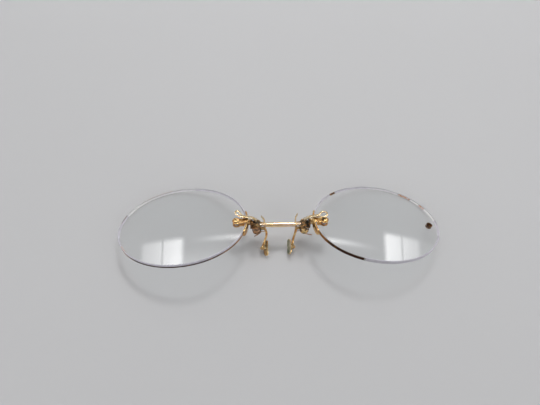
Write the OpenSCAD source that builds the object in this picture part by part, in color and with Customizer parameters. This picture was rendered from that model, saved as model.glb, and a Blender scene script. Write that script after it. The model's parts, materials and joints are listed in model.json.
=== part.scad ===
// Rimless finger-piece pince nez: two oval lenses on a straight bridge bar.
// A sprung lever at each end of the bar carries a finger loop in front and a nose guard behind.
// Every piece is drawn on the right of the image and mirrored for the left.
// Glasses frame: X to the image's right, Y up the face, Z towards the viewer, lens centres at Y = 0, Z = 0.
// Mount frame: the same axes with the origin on the lever's pivot axis, level with the bridge bar.

/* [Lenses] */
// Width of a lens
lens_w = 40.4; // [38:0.1:43]
// Height of a lens
lens_h = 31.3; // [29:0.1:33]
// Thickness of a lens
lens_t = 1.8; // [1.4:0.1:2.2]
// Radius of a lens's front surface
lens_front_r = 240; // [160:10:400]
// Gap between the two lenses at the bridge
lens_gap = 21; // [19.5:0.1:24]
// Angle that each lens turns back around the face
lens_wrap = 6.6; // [4:0.1:9]
// Diameter of the cord's hole
cord_hole_d = 1.6; // [1.2:0.1:2]
// Distance from the lens's outer edge to the cord's hole
cord_hole_inset = 3.1; // [2.5:0.1:4.5]

/* [Straps and shoes] */
// How far the mount sits below the lens's centre line
mount_drop = 0.9; // [0:0.1:1.5]
// Distance from the lens's inner edge to the screw's hole
drill_inset = 3; // [2.8:0.1:4.5]
// Length of the shoe along the lens's edge
shoe_len = 9.4; // [7:0.1:10.5]
// Width of the shoe
shoe_w = 2.3; // [2:0.1:2.6]
// Thickness of the shoe
shoe_t = 0.5; // [0.4:0.05:0.7]
// Width of a strap
strap_w = 1.7; // [1.2:0.1:2.2]
// Thickness of a strap
strap_t = 0.4; // [0.3:0.05:0.55]
// Diameter of the strap's round end
strap_end_d = 2.5; // [2.3:0.1:3.2]
// Diameter of the lens screw's shank
lens_screw_d = 1; // [0.8:0.05:1.2]
// Diameter of the lens screw's head
lens_screw_head_d = 1.6; // [1.4:0.05:2]
// Height of the lens screw's head
lens_screw_head_h = 0.35; // [0.25:0.05:0.4]

/* [Bridge] */
// Diameter of the bridge bar at its ends
bar_d = 1.3; // [1:0.05:1.4]
// Diameter of the bridge bar in the middle
bar_mid_d = 1.6; // [1.3:0.05:2]
// Distance from the middle of the bridge to the bar's end
bar_half = 4.65; // [3.5:0.05:4.9]
// Distance that the bar lies in front of the pivot axis
bar_forward = 0.65; // [0.55:0.01:0.7]
// Thickness of the bridge's end arm
end_arm_t = 0.7; // [0.5:0.05:0.8]
// Height of the bridge's end arm
end_arm_h = 0.75; // [0.6:0.05:0.8]

/* [Posts and pivots] */
// Distance from the lens's inner edge to the pivot axis
pivot_inset = 3.1; // [3:0.05:4]
// Distance that the pivot axis lies behind the lens's edge
pivot_back = 1.6; // [1.5:0.05:2.1]
// Height of the post between the lever's eyes
post_h = 1.5; // [1.3:0.05:2]
// How far the post reaches below the bar's axis
post_low = 0.2; // [0.15:0.05:0.4]
// Diameter of the post's boss
post_d = 2.4; // [2:0.05:2.45]
// Diameter of the pivot screw's shank
pivot_d = 1; // [0.8:0.05:1.1]
// Diameter of the pivot screw's arbor inside the spring
arbor_d = 1.7; // [1.4:0.05:1.8]
// Diameter of the pivot screw's domed head
pivot_head_d = 2.4; // [2.3:0.05:2.8]
// Height of the pivot screw's domed head
pivot_head_h = 0.6; // [0.45:0.05:0.8]

/* [Springs] */
// Diameter of the spring's wire
wire_d = 0.24; // [0.2:0.01:0.25]
// Mean diameter of the spring's coil
coil_d = 2.6; // [2.3:0.05:2.8]
// Rise of the coil in one turn
coil_pitch = 0.66; // [0.66:0.01:0.78]
// Turns in the coil
coil_turns = 2; // [1:1:3]
// Length of the left spring's free tail
left_tail_len = 1.9; // [1.2:0.1:3]
// Length of the right spring's free tail
right_tail_len = 2.7; // [1.2:0.1:3]
// Angle by which the left spring's tail points back
left_tail_turn = 37; // [-30:1:60]
// Angle by which the right spring's tail points back
right_tail_turn = 12; // [-30:1:60]

/* [Finger levers] */
// Diameter of the lever's eyes
eye_d = 2.4; // [2.1:0.05:2.45]
// Thickness of one eye
eye_t = 0.32; // [0.3:0.02:0.5]
// Height of the lever's strip
strip_h = 0.85; // [0.6:0.05:0.9]
// Thickness of the lever's strip
strip_t = 0.5; // [0.4:0.05:0.6]
// How far the strip's upper edge lies above the bar's axis
strip_top = 1.35; // [1.2:0.05:1.5]
// Reach of the strip to the loop's crossing, outwards from the pivot axis
strip_out = 4.6; // [4.4:0.1:5.5]
// Reach of the strip forwards from the pivot axis
strip_forward = 3.65; // [3.6:0.05:4.3]
// Width of the finger loop's metal
loop_rim = 0.45; // [0.4:0.05:0.6]
// Length of the left loop between the centres of its two ends
left_loop_len = 1.9; // [1.3:0.1:2.8]
// Diameter of the left loop's round end
left_loop_d = 1.9; // [1.7:0.1:3]
// Angle that the left loop is bent up
left_loop_rise = 46; // [0:1:50]
// Length of the right loop between the centres of its two ends
right_loop_len = 1.4; // [1.3:0.1:2.8]
// Diameter of the right loop's round end
right_loop_d = 2.6; // [1.7:0.1:3]
// Angle that the right loop is bent up
right_loop_rise = 12; // [0:1:50]

/* [Nose guards] */
// Distance from the pivot axis to the guard's web
web_in = 2.2; // [1.9:0.05:2.4]
// Thickness of the guard's web
web_t = 0.55; // [0.45:0.05:0.7]
// Width of the guard's web
web_w = 1.1; // [1:0.05:1.2]
// Thickness of the guard's arm
arm_d = 0.65; // [0.5:0.05:0.75]
// How far the left guard's arm bows towards the nose
left_arm_bow = 1.1; // [0:0.1:1.5]
// How far the right guard's arm bows towards the nose
right_arm_bow = 0.1; // [0:0.1:1.5]
// Height of the left upper guard's blade
left_blade_h = 3.9; // [3:0.1:6]
// Height of the right upper guard's blade
right_blade_h = 4.7; // [3:0.1:6]
// Thickness of the upper guard's blade at its root
blade_t = 0.55; // [0.4:0.05:0.65]
// Width of the upper guard's blade
blade_w = 1; // [0.8:0.05:1.2]
// Distance from the middle of the bridge to the left pad's rivet
left_rivet_x = 5.6; // [4:0.05:6]
// Distance from the middle of the bridge to the right pad's rivet
right_rivet_x = 4; // [3.9:0.05:6]
// Distance that the left pad's rivet lies below the bar's axis
left_rivet_drop = 4; // [3.4:0.1:5]
// Distance that the right pad's rivet lies below the bar's axis
right_rivet_drop = 3.5; // [3.4:0.1:5]
// Distance that the left pad's rivet lies behind the pivot axis
left_rivet_back = 5.75; // [5.3:0.05:6.6]
// Distance that the right pad's rivet lies behind the pivot axis
right_rivet_back = 6.1; // [5.3:0.05:6.6]
// Lean of the pad's long side from upright
pad_lean = 31; // [20:1:40]
// Angle that the left pad's front edge is turned outwards
left_pad_turn = -26; // [-30:1:30]
// Angle that the right pad's front edge is turned outwards
right_pad_turn = 22; // [-30:1:30]
// Length of a pad
pad_len = 4.9; // [4.4:0.1:6.5]
// Width of a pad
pad_w = 2.7; // [2.4:0.1:3.4]
// Thickness of a pad
pad_t = 0.35; // [0.3:0.05:0.5]
// Radius of the pad's hollow
pad_hollow_r = 10; // [7:0.5:14]
// Distance from the pad's back to its rivet
pad_standoff = 0.9; // [0.85:0.05:1.1]
// Diameter of the pad's rivet
rivet_d = 0.5; // [0.4:0.05:0.6]

/* [Hidden] */
$fn = 48;

// Clearances
seat_gap = 0.02;
fit_gap = 0.05;
edge_gap = 0.05;
stop_gap = 0.12;
leg_gap = 0.16;

// Lens geometry
half_w = lens_w / 2;
half_h = lens_h / 2;
lens_back_r = lens_front_r - lens_t;
surface_z = lens_t / 2 - sqrt(lens_front_r * lens_front_r - half_w * half_w);
lens_x = lens_gap / 2 + half_w * cos(lens_wrap);
inner_edge_z = half_w * sin(lens_wrap);
drill_x = half_w - drill_inset;
cord_x = half_w - cord_hole_inset;

// The pivot axis, with the bar's height as Y = 0
pivot_x = lens_gap / 2 - pivot_inset;
pivot_z = inner_edge_z - pivot_back;

// Heights along the pivot, from the top down
post_top = post_h - post_low;
guard_eye_top = post_top + fit_gap + eye_t;
lever_eye_low = guard_eye_top;
lever_eye_top = lever_eye_low + eye_t;
low_eye_top = -post_low - fit_gap;
low_eye_low = low_eye_top - eye_t;
coil_h = coil_pitch * coil_turns;
coil_top = low_eye_low - fit_gap - wire_d / 2;
coil_low = coil_top - coil_h;
head_top = coil_low - wire_d / 2 - fit_gap;

// The guard's web closes against the back of the bar's end
web_front = bar_forward - bar_d / 2 - stop_gap;

// The block that joins the post to the shoe
shoe_back = pivot_inset - edge_gap - shoe_t;
foot_t = 0.55;
block_out = shoe_back - foot_t;
block_in = post_d / 2 + fit_gap;
block_front = pivot_back + 0.3;

// The pad's rivet and ears
arm_eye_w = 0.8;
arm_eye_d = 1.2;
ear_t = 0.3;
ear_d = 1;
ear_gap = 0.06;
ear_out = arm_eye_w / 2 + ear_gap + ear_t;
rivet_head_d = 0.8;
rivet_head_h = 0.18;

function rivet_x(side) = side < 0 ? left_rivet_x : right_rivet_x;
function rivet_drop(side) = side < 0 ? left_rivet_drop : right_rivet_drop;
function rivet_back(side) = side < 0 ? left_rivet_back : right_rivet_back;
function pad_turn(side) = side < 0 ? left_pad_turn : right_pad_turn;

// The angle at which the pince nez lies on its pads and its upper lens edges, where both reach equally low
function lens_reach(t) = max([for (a = [0 : 3 : 177])
    let (x = half_w * cos(a), y = half_h * sin(a),
        z = surface_z + sqrt(lens_back_r * lens_back_r - x * x - y * y))
    y * sin(t) - (z * cos(lens_wrap) - x * sin(lens_wrap)) * cos(t)]);
function pad_reach(side, t) = max([for (a = [0 : 5 : 355]) for (face = [0, pad_t])
    let (y = (pad_len - pad_w) / 2 * sign(sin(a)) + pad_w / 2 * sin(a), z = pad_w / 2 * cos(a),
        r = pad_hollow_r + pad_t - face,
        x = sqrt(r * r - y * y - z * z) - pad_standoff - pad_hollow_r - pad_t,
        turned_z = z * cos(pad_turn(side)) - x * sin(pad_turn(side)),
        face_y = y * cos(pad_lean) - turned_z * sin(pad_lean) - mount_drop - rivet_drop(side),
        face_z = y * sin(pad_lean) + turned_z * cos(pad_lean) + pivot_z - rivet_back(side))
    face_y * sin(t) - face_z * cos(t)]);
function even_lean(lo, hi, n) = let (t = (lo + hi) / 2) n == 0 ? t
    : max(pad_reach(-1, t), pad_reach(1, t)) > lens_reach(t)
        ? even_lean(t, hi, n - 1) : even_lean(lo, t, n - 1);
rest_lean = even_lean(0, 45, 24);
rest_lift = lens_reach(rest_lean);

// Points at even steps along a cubic curve through four control points
function curve(p, n) = [for (i = [0 : n]) let (t = i / n, s = 1 - t)
    s * s * s * p[0] + 3 * s * s * t * p[1] + 3 * s * t * t * p[2] + t * t * t * p[3]];

function unit(v) = v / norm(v);

// Direction of a path at its point i
function along(path, i) = unit(path[min(i + 1, len(path) - 1)] - path[max(i - 1, 0)]);

// Outline of a flat ribbon that follows a plane curve, its width running from w0 to w1
function ribbon(path, w0, w1) =
    let (n = len(path) - 1,
        side = [for (i = [0 : n]) let (d = along(path, i)) [-d.y, d.x] * (w0 + (w1 - w0) * i / n) / 2])
    concat([for (i = [0 : n]) path[i] + side[i]], [for (i = [n : -1 : 0]) path[i] - side[i]]);

// A closed tube along a path in space: its section is an ellipse, deep across the axis named up
module tube(path, wide, deep, up, sides) {
    n = len(path) - 1;
    rings = [for (i = [0 : n])
        let (d = along(path, i), a = unit(cross(d, up)), b = cross(a, d))
        for (k = [0 : sides - 1])
            path[i] + a * wide[i] / 2 * cos(360 * k / sides) + b * deep[i] / 2 * sin(360 * k / sides)];
    skin = [for (i = [0 : n - 1]) for (k = [0 : sides - 1])
        let (p = i * sides + k, q = i * sides + (k + 1) % sides)
        each [[p, q, p + sides], [q, q + sides, p + sides]]];
    caps = [for (k = [1 : sides - 2])
        each [[0, k + 1, k], [n * sides, n * sides + k, n * sides + k + 1]]];
    polyhedron(rings, concat(skin, caps));
}

module on_side(side) {
    if (side < 0) mirror([1, 0, 0]) children();
    else children();
}

// Lays the glasses down and puts a piece on its side
module placed(side) {
    translate([0, 0, rest_lift]) rotate([-rest_lean, 0, 0]) on_side(side) children();
}

module in_mount() {
    translate([pivot_x, -mount_drop, pivot_z]) children();
}

module in_lens() {
    translate([lens_x, 0, 0]) rotate([0, lens_wrap, 0]) children();
}

// Seats a piece on the lens's front surface at a distance x from the lens's middle
module on_front(x) {
    translate([0, 0, surface_z]) rotate([0, asin(x / lens_front_r), 0])
        translate([0, 0, lens_front_r]) children();
}

module at_drill() {
    in_lens() translate([0, -mount_drop, 0]) on_front(-drill_x) children();
}

module at_rivet(side) {
    translate([rivet_x(side), -mount_drop - rivet_drop(side), pivot_z - rivet_back(side)])
        rotate([pad_lean, 0, 0]) rotate([0, pad_turn(side), 0]) children();
}

// A round bar along Y from y0 up to y1
module upright(d, y0, y1) {
    translate([0, y1, 0]) rotate([90, 0, 0]) cylinder(d = d, h = y1 - y0);
}

// A plane outline drawn as X and Z, standing from y0 up to y1
module slab(y0, y1) {
    translate([0, y1, 0]) rotate([90, 0, 0]) linear_extrude(y1 - y0) children();
}

// The lens's outline, an ellipse grown by the size given
module oval(grow) {
    steps = 120;
    polygon([for (i = [0 : steps - 1]) let (a = 360 * i / steps)
        [(half_w + grow) * cos(a), (half_h + grow) * sin(a)]]);
}

module lens_blank() {
    difference() {
        intersection() {
            translate([0, 0, -lens_t * 3]) linear_extrude(lens_t * 6) oval(0);
            translate([0, 0, surface_z]) sphere(lens_front_r, $fn = 360);
        }
        translate([0, 0, surface_z]) sphere(lens_back_r, $fn = 360);
    }
}

module lens(side, cord) {
    placed(side) difference() {
        in_lens() lens_blank();
        at_drill() translate([0, 0, -2 * lens_t]) cylinder(d = lens_screw_d + 2 * fit_gap, h = 3 * lens_t);
        if (cord) in_lens() on_front(cord_x) translate([0, 0, -2 * lens_t])
            cylinder(d = cord_hole_d, h = 3 * lens_t);
    }
}

module strap_plate() {
    reach = drill_inset + edge_gap + shoe_t;
    difference() {
        linear_extrude(strap_t) union() {
            circle(d = strap_end_d);
            translate([-reach, -strap_w / 2]) square([reach, strap_w]);
        }
        translate([0, 0, -strap_t]) cylinder(d = lens_screw_d + 2 * seat_gap, h = 3 * strap_t);
    }
}

module front_strap(side) {
    placed(side) at_drill() translate([0, 0, seat_gap]) strap_plate();
}

module back_strap(side) {
    placed(side) at_drill() translate([0, 0, -lens_t - 2 * seat_gap - strap_t]) strap_plate();
}

module lens_screw(side) {
    head_low = strap_t + 2 * seat_gap;
    tip = lens_t + strap_t + 3 * seat_gap + 0.15;
    slot_w = 0.28;
    slot_d = 0.18;
    placed(side) at_drill() difference() {
        union() {
            translate([0, 0, -tip]) cylinder(d = lens_screw_d, h = tip + head_low);
            translate([0, 0, head_low]) cylinder(d = lens_screw_head_d, h = lens_screw_head_h);
        }
        translate([0, 0, head_low + lens_screw_head_h]) rotate(35)
            cube([2 * lens_screw_head_d, slot_w, 2 * slot_d], center = true);
    }
}

// The ring that hugs the lens's edge, cut to the shoe's rounded length
module shoe_plate() {
    difference() {
        intersection() {
            linear_extrude(2 * shoe_w, center = true) difference() {
                oval(edge_gap + shoe_t);
                oval(edge_gap);
            }
            translate([-half_w, -mount_drop, 0]) rotate([0, 90, 0])
                linear_extrude(4 * lens_t, center = true) union() {
                    square([shoe_w, shoe_len - shoe_w], center = true);
                    for (s = [-1, 1]) translate([0, s * (shoe_len - shoe_w) / 2]) circle(d = shoe_w);
                }
        }
        // Notches that the straps' ends lie in
        translate([0, -mount_drop, 0]) on_front(-drill_x) {
            notch_w = strap_w + 2 * seat_gap;
            translate([-2 * drill_inset, -notch_w / 2, 0]) cube([2 * drill_inset, notch_w, lens_t]);
            translate([-2 * drill_inset, -notch_w / 2, -2 * lens_t])
                cube([2 * drill_inset, notch_w, lens_t]);
        }
    }
}

module shoe(side) {
    placed(side) {
        in_lens() shoe_plate();
        // The foot that the shoe is soldered to the post by
        in_mount() slab(-post_low, post_top)
            translate([block_out, pivot_back - 0.75]) square([foot_t + shoe_t * 0.6, 1.05]);
    }
}

module post(side) {
    placed(side) in_mount() difference() {
        slab(-post_low, post_top) union() {
            circle(d = post_d);
            translate([0, -post_d * 0.4]) square([block_out, post_d * 0.9]);
            translate([block_in, -post_d * 0.4]) square([block_out - block_in, block_front + post_d * 0.4]);
        }
        upright(pivot_d + 2 * seat_gap, -post_low - 1, post_top + 1);
    }
}

// Bulges from the ends to the middle along one arc
module bar_body() {
    bulge = (bar_mid_d - bar_d) / 2;
    arc_r = (bar_half * bar_half + bulge * bulge) / (2 * bulge);
    rotate([0, 90, 0]) rotate_extrude($fn = 144) intersection() {
        translate([bar_mid_d / 2 - arc_r, 0]) circle(arc_r, $fn = 720);
        translate([0, -bar_half]) square([bar_mid_d, 2 * bar_half]);
    }
}

module bridge_bar() {
    arm_root = bar_half - 0.5;
    arm_end = pivot_x - post_d / 2 * 0.8;
    color("goldenrod") placed(1) translate([0, -mount_drop, pivot_z + bar_forward]) difference() {
        union() {
            bar_body();
            for (s = [-1, 1]) on_side(s) translate([arm_root, -post_low, -end_arm_t / 2])
                cube([arm_end - arm_root, end_arm_h, end_arm_t]);
        }
        // The arms' ends are cut to the round of the posts
        for (s = [-1, 1]) on_side(s) translate([pivot_x, 0, -bar_forward])
            upright(post_d + 2 * seat_gap, -post_h, post_h);
    }
}

module pivot_screw(side) {
    dome_r = (pow(pivot_head_d / 2, 2) + pow(pivot_head_h, 2)) / (2 * pivot_head_h);
    placed(side) in_mount() difference() {
        union() {
            upright(pivot_d, low_eye_low - fit_gap, lever_eye_top + 0.15);
            upright(arbor_d, head_top, low_eye_low - fit_gap);
            intersection() {
                translate([0, head_top - pivot_head_h + dome_r, 0]) sphere(dome_r, $fn = 96);
                upright(pivot_head_d + 1, head_top - 2 * pivot_head_h, head_top);
            }
        }
        translate([0, head_top - pivot_head_h, 0]) rotate([0, 25, 0])
            cube([2 * pivot_head_d, 0.4, 0.28], center = true);
    }
}

// The spring: a leg behind the guard's web, the coil, then the free tail
coil_rings = 8;
function coil_point(a, y) = [coil_d / 2 * sin(a), y, -coil_d / 2 * cos(a)];
function spring_path(tail_len, tail_turn) =
    let (turn = 360 * coil_turns - tail_turn,
        steps = ceil(coil_rings * turn / 360),
        last = coil_point(turn, coil_low),
        out = [cos(turn), 0, sin(turn)])
    concat(
        [[-web_in - web_t, coil_top, web_front - web_w - wire_d - leg_gap],
            [-web_in * 0.6, coil_top, -coil_d / 2 - 0.2], [-0.5, coil_top, -coil_d / 2 - 0.03]],
        [for (i = [0 : steps]) coil_point(turn * i / steps, coil_top - coil_h * i / steps)],
        [last + out * tail_len / 2 + [0, -0.05, 0], last + out * tail_len + [0, -0.15, 0]]);

module spring(side, tail_len, tail_turn) {
    path = spring_path(tail_len, tail_turn);
    wire = [for (p = path) wire_d];
    gaps = [for (i = [0 : len(path) - 1]) for (j = [i + 1 : 1 : len(path) - 1])
        if (j - i >= coil_rings * 0.75) norm(path[i] - path[j]) - wire_d];
    echo("spring side", side, "least gap to itself", min(gaps));
    placed(side) in_mount() tube(path, wire, wire, [0, 1, 0], 6);
}

module eye(y0, y1) {
    upright(eye_d, y0, y1);
}

module eye_bore() {
    upright(pivot_d + 2 * fit_gap, low_eye_low - 1, lever_eye_top + 1);
}

// A large and a small round end joined by straight sides tangent to both
module teardrop(length, d1, d2) {
    turn = 180 - acos((d1 - d2) / 2 / length);
    steps = 12;
    polygon(concat(
        [for (i = [-steps : steps]) [length, 0] + d1 / 2 * [cos(turn * i / steps), sin(turn * i / steps)]],
        [for (i = [-steps : steps]) let (a = 180 + (180 - turn) * i / steps) d2 / 2 * [cos(a), sin(a)]]));
}

module finger_lever(side, loop_len, loop_d, rise) {
    strip_low = strip_top - strip_h;
    neck_x = 0.25;
    neck_w = 0.6;
    neck_z = eye_d / 2 + fit_gap;
    path = curve([[neck_x, neck_z + strip_t / 2], [neck_x + 0.05, strip_forward - 0.85],
        [strip_out - 2.7, strip_forward - 0.25], [strip_out, strip_forward]], 12);
    placed(side) in_mount() {
        difference() {
            union() {
                eye(lever_eye_low, lever_eye_top);
                translate([neck_x - neck_w / 2, lever_eye_low, pivot_d])
                    cube([neck_w, eye_t, neck_z + strip_t - pivot_d]);
            }
            eye_bore();
        }
        // The neck brings the strip down in front of the eyes
        translate([neck_x - neck_w / 2, strip_low, neck_z])
            cube([neck_w, lever_eye_top - strip_low, strip_t]);
        slab(strip_low, strip_top) polygon(ribbon(path, strip_t, strip_t));
        translate([strip_out, strip_low + strip_h / 2, strip_forward]) rotate([0, -8, 0])
            rotate([0, 0, rise]) linear_extrude(strip_t, center = true) difference() {
                teardrop(loop_len, loop_d, strip_h);
                teardrop(loop_len, loop_d - 2 * loop_rim, strip_h - 2 * loop_rim + 0.2);
            }
    }
}

module guard_arm(side) {
    bow = side < 0 ? left_arm_bow : right_arm_bow;
    knuckle = [rivet_x(side) - pivot_x, -rivet_drop(side), -rivet_back(side)];
    down = [0, -cos(pad_lean), -sin(pad_lean)];
    root = [-web_in - web_t / 2, low_eye_low + eye_t, web_front - web_w / 2];
    path = curve([root, root + [-bow, -2, -0.6], knuckle + [-bow, 0, 0] - down * 3.4,
        knuckle - down * arm_eye_d * 0.4], 10);
    n = len(path) - 1;
    wide = [for (i = [0 : n]) arm_d * (1 - 0.25 * i / n)];
    deep = [for (i = [0 : n]) arm_d * (1.3 - 0.3 * i / n)];
    placed(side) {
        in_mount() {
            difference() {
                union() {
                    for (y = [guard_eye_top, low_eye_top]) {
                        eye(y - eye_t, y);
                        slab(y - eye_t, y) polygon([[-web_in - web_t / 2, web_front - web_w],
                            [-web_in - web_t / 2, web_front], [0, eye_d * 0.4], [0, -eye_d * 0.45]]);
                    }
                    translate([-web_in - web_t, low_eye_low, web_front - web_w])
                        cube([web_t, guard_eye_top - low_eye_low, web_w]);
                }
                eye_bore();
            }
            tube(path, wide, deep, [1, 0, 0], 10);
        }
        at_rivet(side) difference() {
            cylinder(d = arm_eye_d, h = arm_eye_w, center = true);
            cylinder(d = rivet_d + 2 * fit_gap, h = 2 * arm_eye_w, center = true);
        }
    }
}

module upper_guard(side) {
    height = side < 0 ? left_blade_h : right_blade_h;
    root = [-web_in - web_t / 2, 0];
    path = curve([root, root + [-0.1, height * 0.4], root + [0.15, height * 0.75], root + [1, height]], 10);
    lean = -8;
    placed(side) in_mount() translate([0, guard_eye_top, web_front - web_w / 2]) intersection() {
        rotate([lean, 0, 0]) translate([0, -0.3, 0])
            linear_extrude(blade_w, center = true) polygon(ribbon(path, blade_t, 0.15));
        translate([-5, 0, -5]) cube(10);
    }
}

module pad_rivet(side) {
    placed(side) at_rivet(side) {
        cylinder(d = rivet_d, h = 2 * ear_out + 2 * seat_gap, center = true);
        for (s = [0, 1]) mirror([0, 0, s]) translate([0, 0, ear_out + seat_gap])
            cylinder(d = rivet_head_d, h = rivet_head_h);
    }
}

module pad(side) {
    back_x = -pad_standoff;
    placed(side) at_rivet(side) {
        intersection() {
            translate([back_x - pad_hollow_r - pad_t, 0, 0]) difference() {
                sphere(pad_hollow_r + pad_t, $fn = 180);
                sphere(pad_hollow_r, $fn = 180);
            }
            translate([back_x, 0, 0]) rotate([0, 90, 0])
                linear_extrude(pad_hollow_r, center = true) union() {
                    square([pad_w, pad_len - pad_w], center = true);
                    for (s = [-1, 1]) translate([0, s * (pad_len - pad_w) / 2]) circle(d = pad_w);
                }
        }
        for (s = [0, 1]) mirror([0, 0, s]) translate([0, 0, ear_out - ear_t]) difference() {
            linear_extrude(ear_t) union() {
                circle(d = ear_d);
                translate([back_x - pad_t * 0.6, -ear_d * 0.4]) square([-back_x + pad_t * 0.6, ear_d * 0.8]);
            }
            translate([0, 0, -ear_t]) cylinder(d = rivet_d + 2 * seat_gap, h = 3 * ear_t);
        }
    }
}

module left_post() { color("goldenrod") post(-1); }
module right_post() { color("goldenrod") post(1); }
module left_shoe() { color("goldenrod") shoe(-1); }
module right_shoe() { color("goldenrod") shoe(1); }
module left_front_strap() { color("goldenrod") front_strap(-1); }
module right_front_strap() { color("goldenrod") front_strap(1); }
module left_back_strap() { color("goldenrod") back_strap(-1); }
module right_back_strap() { color("goldenrod") back_strap(1); }
module left_lens_screw() { color("gold") lens_screw(-1); }
module right_lens_screw() { color("gold") lens_screw(1); }
module left_lens() { color("lightblue", 0.3) lens(-1, false); }
module right_lens() { color("lightblue", 0.3) lens(1, true); }
module left_pivot_screw() { color("gold") pivot_screw(-1); }
module right_pivot_screw() { color("gold") pivot_screw(1); }
module left_spring() { color("tan") spring(-1, left_tail_len, left_tail_turn); }
module right_spring() { color("tan") spring(1, right_tail_len, right_tail_turn); }
module left_finger_lever() {
    color("gold") finger_lever(-1, left_loop_len, left_loop_d, left_loop_rise);
}
module right_finger_lever() {
    color("gold") finger_lever(1, right_loop_len, right_loop_d, right_loop_rise);
}
module left_guard_arm() { color("goldenrod") guard_arm(-1); }
module right_guard_arm() { color("goldenrod") guard_arm(1); }
module left_upper_guard() { color("gold") upper_guard(-1); }
module right_upper_guard() { color("gold") upper_guard(1); }
module left_pad_rivet() { color("gold") pad_rivet(-1); }
module right_pad_rivet() { color("gold") pad_rivet(1); }
module left_pad() { color("darkkhaki") pad(-1); }
module right_pad() { color("darkkhaki") pad(1); }

bridge_bar();
left_post();
right_post();
left_shoe();
right_shoe();
left_front_strap();
right_front_strap();
left_back_strap();
right_back_strap();
left_lens_screw();
right_lens_screw();
left_lens();
right_lens();
left_pivot_screw();
right_pivot_screw();
left_spring();
right_spring();
left_finger_lever();
right_finger_lever();
left_guard_arm();
right_guard_arm();
left_upper_guard();
right_upper_guard();
left_pad_rivet();
right_pad_rivet();
left_pad();
right_pad();
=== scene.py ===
"""Dresses a rimless finger-piece pince nez: ground lenses, worn gold filled fittings, springs and pads."""

import json
import math

import bmesh
import bpy
from bpy.props import FloatProperty, FloatVectorProperty, IntProperty, PointerProperty
from mathutils import Matrix, Vector


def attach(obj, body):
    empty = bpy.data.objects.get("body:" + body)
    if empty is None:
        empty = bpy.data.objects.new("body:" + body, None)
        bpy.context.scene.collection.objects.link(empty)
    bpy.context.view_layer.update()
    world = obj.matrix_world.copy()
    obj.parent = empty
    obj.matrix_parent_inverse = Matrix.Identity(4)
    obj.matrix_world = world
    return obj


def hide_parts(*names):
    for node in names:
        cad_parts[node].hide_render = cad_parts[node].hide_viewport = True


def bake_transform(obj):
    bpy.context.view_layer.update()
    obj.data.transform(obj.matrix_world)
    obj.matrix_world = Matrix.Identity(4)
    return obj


bl_info = {
    "name": "Pince nez",
    "version": (1, 0, 0),
    "blender": (4, 5, 0),
    "location": "3D View > Sidebar > Pince nez",
    "description": "Dresses a rimless pince nez with ground lenses, gold filled fittings, springs and pads",
    "category": "Object",
}

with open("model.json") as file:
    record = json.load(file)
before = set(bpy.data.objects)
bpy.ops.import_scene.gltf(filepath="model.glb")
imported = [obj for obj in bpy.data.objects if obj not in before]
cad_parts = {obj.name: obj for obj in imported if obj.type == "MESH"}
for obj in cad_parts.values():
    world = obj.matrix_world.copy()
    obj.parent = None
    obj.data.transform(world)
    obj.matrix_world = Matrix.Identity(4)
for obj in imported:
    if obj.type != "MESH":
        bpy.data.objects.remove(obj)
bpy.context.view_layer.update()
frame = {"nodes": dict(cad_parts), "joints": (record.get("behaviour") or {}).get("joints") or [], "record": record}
MM = 0.001
MERGE = 1e-7
SIDES = (("left", -1), ("right", 1))
CORD_SIDE = "right"


def size(name, default, about, low, high):
    """A length in metres, given in millimetres."""
    return FloatProperty(name=name, description=about, default=default * MM, min=low * MM, max=high * MM,
                         unit="LENGTH", precision=5)


def turn(name, default, about):
    """An angle, given in degrees."""
    return FloatProperty(name=name, description=about, default=math.radians(default), unit="ROTATION")


def colour(name, default, about):
    return FloatVectorProperty(name=name, description=about, default=default, size=3, min=0, max=1,
                               subtype="COLOR")


def lamp(name, default, about):
    return FloatProperty(name=name, description=about, default=default, min=0)


class PinceNezLens(bpy.types.PropertyGroup):
    """Sizes of the lenses and where they stand"""

    width: size("Width", 40.4, "Width of a lens", 38, 43)
    height: size("Height", 31.3, "Height of a lens", 29, 33)
    thickness: size("Thickness", 1.8, "Thickness of the glass", 1.4, 2.2)
    front_radius: size("Front radius", 240, "Radius of the front surface", 160, 400)
    gap: size("Gap", 21, "Gap between the two lenses at the bridge", 19, 24)
    wrap: turn("Wrap", 6.6, "Angle that each lens turns back around the face")
    chamfer: size("Edge chamfer", 0.2, "Width of the safety chamfer in front of the ground edge", 0.05, 0.3)
    back_bevel: size("Back bevel", 0.5, "Width of the bevel behind the ground edge", 0.1, 0.8)
    cord_hole: size("Cord hole", 1.6, "Diameter of the cord's hole", 1.2, 2)
    cord_inset: size("Cord hole inset", 3.1, "Distance from the outer edge to the cord's hole", 2, 5)
    screw_hole: size("Screw hole", 1.1, "Diameter of the screw's hole", 0.9, 1.4)
    screw_inset: size("Screw hole inset", 3, "Distance from the inner edge to the screw's hole", 2, 5)
    countersink: size("Countersink", 0.18, "Depth of the countersink at a hole's rims", 0.05, 0.4)
    mount_drop: size("Mount drop", 0.9, "How far the mount sits below the lens's centre line", 0, 2)
    segments: IntProperty(name="Segments", description="Steps around a lens", default=240, min=60, max=400)


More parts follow.
